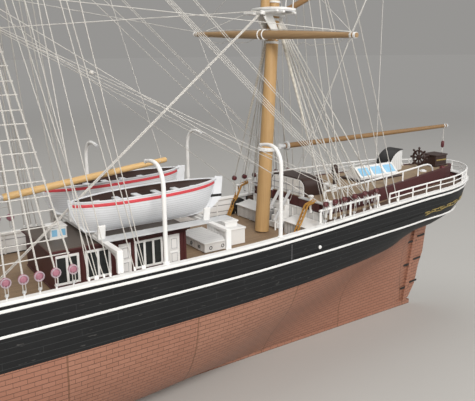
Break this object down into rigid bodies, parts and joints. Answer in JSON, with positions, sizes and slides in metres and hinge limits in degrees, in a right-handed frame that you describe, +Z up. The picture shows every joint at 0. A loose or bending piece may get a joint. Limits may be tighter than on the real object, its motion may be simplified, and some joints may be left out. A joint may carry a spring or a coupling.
{
  "type": "clipper ship scale model",
  "caption": "Display model of a full-rigged three-masted clipper with bare yards, coppered hull, deck houses, boats on skids and thread rigging.",
  "frame": {"origin": "on the flat underside of the keel, amidships, on the centreline", "axes": "+X forward along the keel, +Y to port, +Z up"},
  "size_m": [0.8728, 0.2376, 0.5267],
  "materials": {
    "copper_sheathing": "matt printed card, sheet pattern",
    "black_topsides": "satin black card, faint planks",
    "deck_planks": "matt printed planks",
    "white_card": "matt white",
    "maroon_card": "satin maroon",
    "dark_brown_card": "satin dark brown",
    "pale_wood": "clear satin",
    "stained_wood": "stained satin",
    "white_thread": "twisted thread"
  },
  "bodies": {
    "root": {"after_hatch": "white_card", "after_house": "maroon_card", "boat_aft_port": "white_card", "boat_aft_starboard": "white_card", "boat_fore_port": "white_card", "boat_fore_starboard": "white_card", "boat_skids": "white_card", "bowsprit": "pale_wood", "bulwark_port": "black_topsides", "bulwark_starboard": "black_topsides", "companion_hood": "dark_brown_card", "companion_house": "white_card", "crossjack_yard": "stained_wood", "davit_aft_port": "white_card", "davit_aft_starboard": "white_card", "davit_fore_port": "white_card", "davit_fore_starboard": "white_card", "fore_house": "maroon_card", "fore_lower_mast": "pale_wood", "fore_lower_topsail_yard": "stained_wood", "fore_shrouds_port": "white_thread", "fore_shrouds_starboard": "white_thread", "fore_stay": "white_thread", "fore_topgallant_yard": "stained_wood", "fore_upper_mast": "pale_wood", "fore_upper_topsail_yard": "stained_wood", "fore_yard": "stained_wood", "forecastle_deck": "deck_planks", "hen_coop_port": "white_card", "hen_coop_starboard": "white_card", "hull_bottom": "copper_sheathing", "hull_topsides": "black_topsides", "keel": "copper_sheathing", "main_deck": "deck_planks", "main_lower_mast": "pale_wood", "main_lower_topsail_yard": "stained_wood", "main_shrouds_port": "white_thread", "main_shrouds_starboard": "white_thread", "main_stay": "white_thread", "main_topgallant_yard": "stained_wood", "main_upper_mast": "pale_wood", "main_upper_topsail_yard": "stained_wood", "main_yard": "stained_wood", "mizzen_lower_mast": "pale_wood", "mizzen_lower_topsail_yard": "stained_wood", "mizzen_shrouds_port": "white_thread", "mizzen_shrouds_starboard": "white_thread", "mizzen_stay": "white_thread", "mizzen_topgallant_yard": "stained_wood", "mizzen_upper_mast": "pale_wood", "mizzen_upper_topsail_yard": "stained_wood", "poop_deck": "deck_planks", "skylight": "white_card", "spanker_gaff": "stained_wood", "stern_rail": "white_card", "wheel_box": "dark_brown_card"},
    "rudder": {"rudder": "copper_sheathing"},
    "wheel": {"steering_wheel": "dark_brown_card"},
    "spanker": {"spanker_boom": "stained_wood"},
    "mainboom": {"main_boom": "pale_wood"}
  },
  "joints": [
    {"name": "rudder_swing", "type": "hinge", "parent": "root", "child": "rudder", "pos_m": [-0.32428, 0, 0.03], "axis": [-0.1676, 0, 0.9859], "range_deg": [-35, 35]},
    {"name": "wheel_spin", "type": "hinge", "parent": "root", "child": "wheel", "pos_m": [-0.326, 0, 0.1152], "axis": [1, 0, 0], "continuous": true},
    {"name": "spanker_boom_swing", "type": "hinge", "parent": "root", "child": "spanker", "pos_m": [-0.1935, 0, 0.1357], "axis": [0, 0, 1], "range_deg": [-20, 20]},
    {"name": "main_boom_swing", "type": "hinge", "parent": "root", "child": "mainboom", "pos_m": [-0.02372, 0, 0.1265], "axis": [0, 0, 1], "range_deg": [0, 20]}
  ]
}
